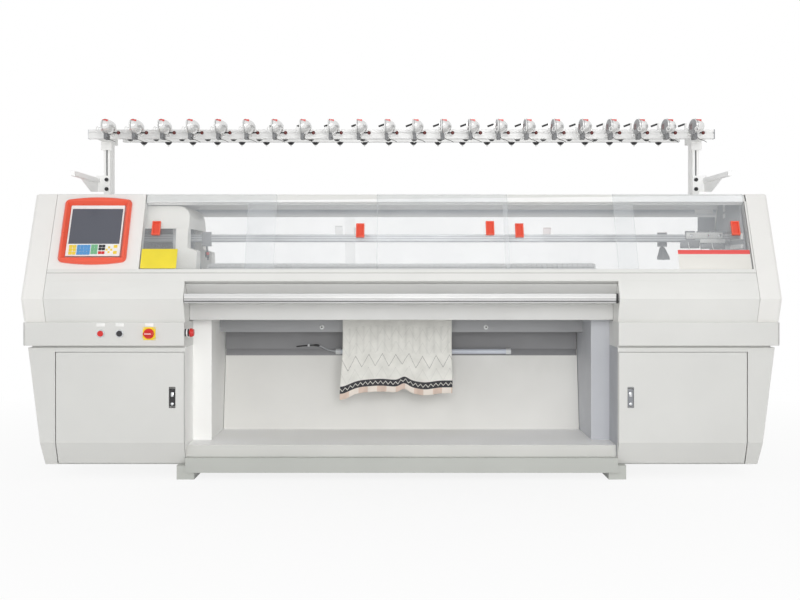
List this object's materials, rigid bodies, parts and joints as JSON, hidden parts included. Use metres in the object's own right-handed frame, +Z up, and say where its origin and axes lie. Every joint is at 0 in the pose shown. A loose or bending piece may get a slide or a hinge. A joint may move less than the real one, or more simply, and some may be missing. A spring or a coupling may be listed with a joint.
{
  "type": "flat knitting machine",
  "caption": "Long flat-bed knitting machine with sliding clear doors over the needle beds, end cabinets, a control display, a fabric bay and a yarn stand on top.",
  "frame": {"origin": "middle of the machine's footprint on the floor", "axes": "+X to the operator's right along the machine, +Y to the rear, +Z up"},
  "size_m": [3.44, 0.9159, 1.657],
  "materials": {
    "panel_white": "satin powder coat",
    "frame_grey": "satin",
    "bare_aluminium": "anodised",
    "steel": "ground",
    "clear_acrylic": "clear acrylic",
    "orange_red": "semi gloss",
    "black_plastic": "matt",
    "lever_grey": "matt",
    "chrome_ring": "polished",
    "signal_yellow": "semi gloss",
    "screen_dark": "gloss",
    "keypad_grey": "satin foil",
    "board_grey": "satin",
    "lamp_white": "opal",
    "knit": "knitted",
    "hood_white": "satin",
    "roller_rubber": "matt",
    "unit_silver": "satin"
  },
  "bodies": {
    "machine": {"base_frame": "frame_grey", "left_cabinet": "panel_white", "right_cabinet": "panel_white", "left_console": "panel_white", "right_console": "panel_white", "button_collars": "chrome_ring", "switch_plate": "signal_yellow", "stop_collar": "black_plastic", "left_end_cover": "panel_white", "right_end_cover": "panel_white", "display_panel": "panel_white", "left_fascia": "panel_white", "right_fascia": "panel_white", "door_track": "panel_white", "top_beam": "panel_white", "rear_panel": "panel_white", "display_bezel": "orange_red", "display_screen": "screen_dark", "keypad": "keypad_grey", "front_apron": "panel_white", "bay_walls": "panel_white", "back_board": "board_grey", "fabric_tray": "panel_white", "work_lamp": "lamp_white", "lamp_lead": "black_plastic", "knitted_fabric": "knit", "front_needle_bed": "steel", "feeder_rails": "steel", "yarn_posts": "bare_aluminium", "yarn_rails": "bare_aluminium", "guide_eyelets": "black_plastic", "tension_units": "unit_silver"},
    "left_door": {"left_cabinet_door": "panel_white"},
    "right_door": {"right_cabinet_door": "panel_white"},
    "left_lever": {"left_lock_lever": "black_plastic"},
    "right_lever": {"right_lock_lever": "lever_grey"},
    "stop_push": {"red_button": "orange_red"},
    "start_push": {"black_button": "black_plastic"},
    "main_switch": {"switch_knob": "orange_red"},
    "emergency_stop": {"stop_head": "orange_red"},
    "rear_window_left": {"rear_door_left": "clear_acrylic"},
    "rear_window_right": {"rear_door_right": "clear_acrylic"},
    "rod": {"operating_rod": "bare_aluminium"},
    "racking_bed": {"rear_needle_bed": "steel"},
    "carriage": {"carriage": "steel", "carriage_cover": "hood_white"},
    "feeder_left": {"yarn_feeder_left": "black_plastic"},
    "feeder_right": {"yarn_feeder_right": "black_plastic"},
    "roller_front": {"front_roller": "roller_rubber"},
    "roller_rear": {"rear_roller": "roller_rubber"},
    "front_door_1": {"sliding_door_1": "clear_acrylic", "door_pull_1": "orange_red"},
    "front_door_2": {"sliding_door_2": "clear_acrylic", "door_pull_2": "orange_red"},
    "front_door_3": {"sliding_door_3": "clear_acrylic", "door_pull_3": "orange_red"},
    "front_door_4": {"sliding_door_4": "clear_acrylic", "door_pull_4": "orange_red"},
    "front_door_5": {"sliding_door_5": "clear_acrylic", "door_pull_5": "orange_red"}
  },
  "joints": [
    {"name": "left_door_hinge", "type": "hinge", "parent": "machine", "child": "left_door", "pos_m": [-1.565, -0.391, 0.365], "axis": [0, 0, -1], "range_deg": [0, 105]},
    {"name": "right_door_hinge", "type": "hinge", "parent": "machine", "child": "right_door", "pos_m": [1.565, -0.391, 0.365], "axis": [0, 0, 1], "range_deg": [0, 105]},
    {"name": "left_lever_pivot", "type": "hinge", "parent": "left_door", "child": "left_lever", "pos_m": [-1.044, -0.394, 0.41], "axis": [-1, 0, 0], "range_deg": [0, 40]},
    {"name": "right_lever_pivot", "type": "hinge", "parent": "right_door", "child": "right_lever", "pos_m": [1.044, -0.394, 0.41], "axis": [-1, 0, 0], "range_deg": [0, 40]},
    {"name": "stop_press", "type": "slide", "parent": "machine", "child": "stop_push", "axis": [0, 1, 0], "range_m": [0, 0.003], "stiffness_N_per_m": 600},
    {"name": "start_press", "type": "slide", "parent": "machine", "child": "start_push", "axis": [0, 1, 0], "range_m": [0, 0.003], "stiffness_N_per_m": 600},
    {"name": "main_switch_turn", "type": "hinge", "parent": "machine", "child": "main_switch", "pos_m": [-1.143, -0.44, 0.667], "axis": [0, 1, 0], "range_deg": [0, 90]},
    {"name": "emergency_press", "type": "slide", "parent": "machine", "child": "emergency_stop", "axis": [-1, 0, 0], "range_m": [0, 0.004]},
    {"name": "front_door_1_slide", "type": "slide", "parent": "machine", "child": "front_door_1", "axis": [1, 0, 0], "range_m": [0, 0.44]},
    {"name": "front_door_2_slide", "type": "slide", "parent": "machine", "child": "front_door_2", "axis": [1, 0, 0], "range_m": [-0.47, 0.28]},
    {"name": "front_door_3_slide", "type": "slide", "parent": "machine", "child": "front_door_3", "axis": [1, 0, 0], "range_m": [0, 0.2]},
    {"name": "front_door_4_slide", "type": "slide", "parent": "machine", "child": "front_door_4", "axis": [1, 0, 0], "range_m": [-0.28, 0.51]},
    {"name": "front_door_5_slide", "type": "slide", "parent": "machine", "child": "front_door_5", "axis": [1, 0, 0], "range_m": [-0.28, 0]},
    {"name": "rear_window_left_slide", "type": "slide", "parent": "machine", "child": "rear_window_left", "axis": [1, 0, 0], "range_m": [0, 1.2]},
    {"name": "rear_window_right_slide", "type": "slide", "parent": "machine", "child": "rear_window_right", "axis": [1, 0, 0], "range_m": [-1.2, 0]},
    {"name": "rod_turn", "type": "hinge", "parent": "machine", "child": "rod", "pos_m": [0, -0.423, 0.827], "axis": [1, 0, 0], "range_deg": [-25, 25]},
    {"name": "bed_racking", "type": "slide", "parent": "machine", "child": "racking_bed", "axis": [1, 0, 0], "range_m": [-0.025, 0.025]},
    {"name": "carriage_slide", "type": "slide", "parent": "machine", "child": "carriage", "axis": [1, 0, 0], "range_m": [0, 2.48]},
    {"name": "feeder_left_slide", "type": "slide", "parent": "machine", "child": "feeder_left", "axis": [1, 0, 0], "range_m": [-0.55, 1.95]},
    {"name": "feeder_right_slide", "type": "slide", "parent": "machine", "child": "feeder_right", "axis": [1, 0, 0], "range_m": [-2.2, 0.28]},
    {"name": "front_roller_spin", "type": "hinge", "parent": "machine", "child": "roller_front", "pos_m": [0, -0.0188, 0.748], "axis": [1, 0, 0], "continuous": true},
    {"name": "rear_roller_spin", "type": "hinge", "parent": "machine", "child": "roller_rear", "pos_m": [0, 0.0188, 0.748], "axis": [1, 0, 0], "continuous": true}
  ],
  "couplings": [
    {"joint": "rear_roller_spin", "follows": "front_roller_spin", "ratio": -1}
  ]
}
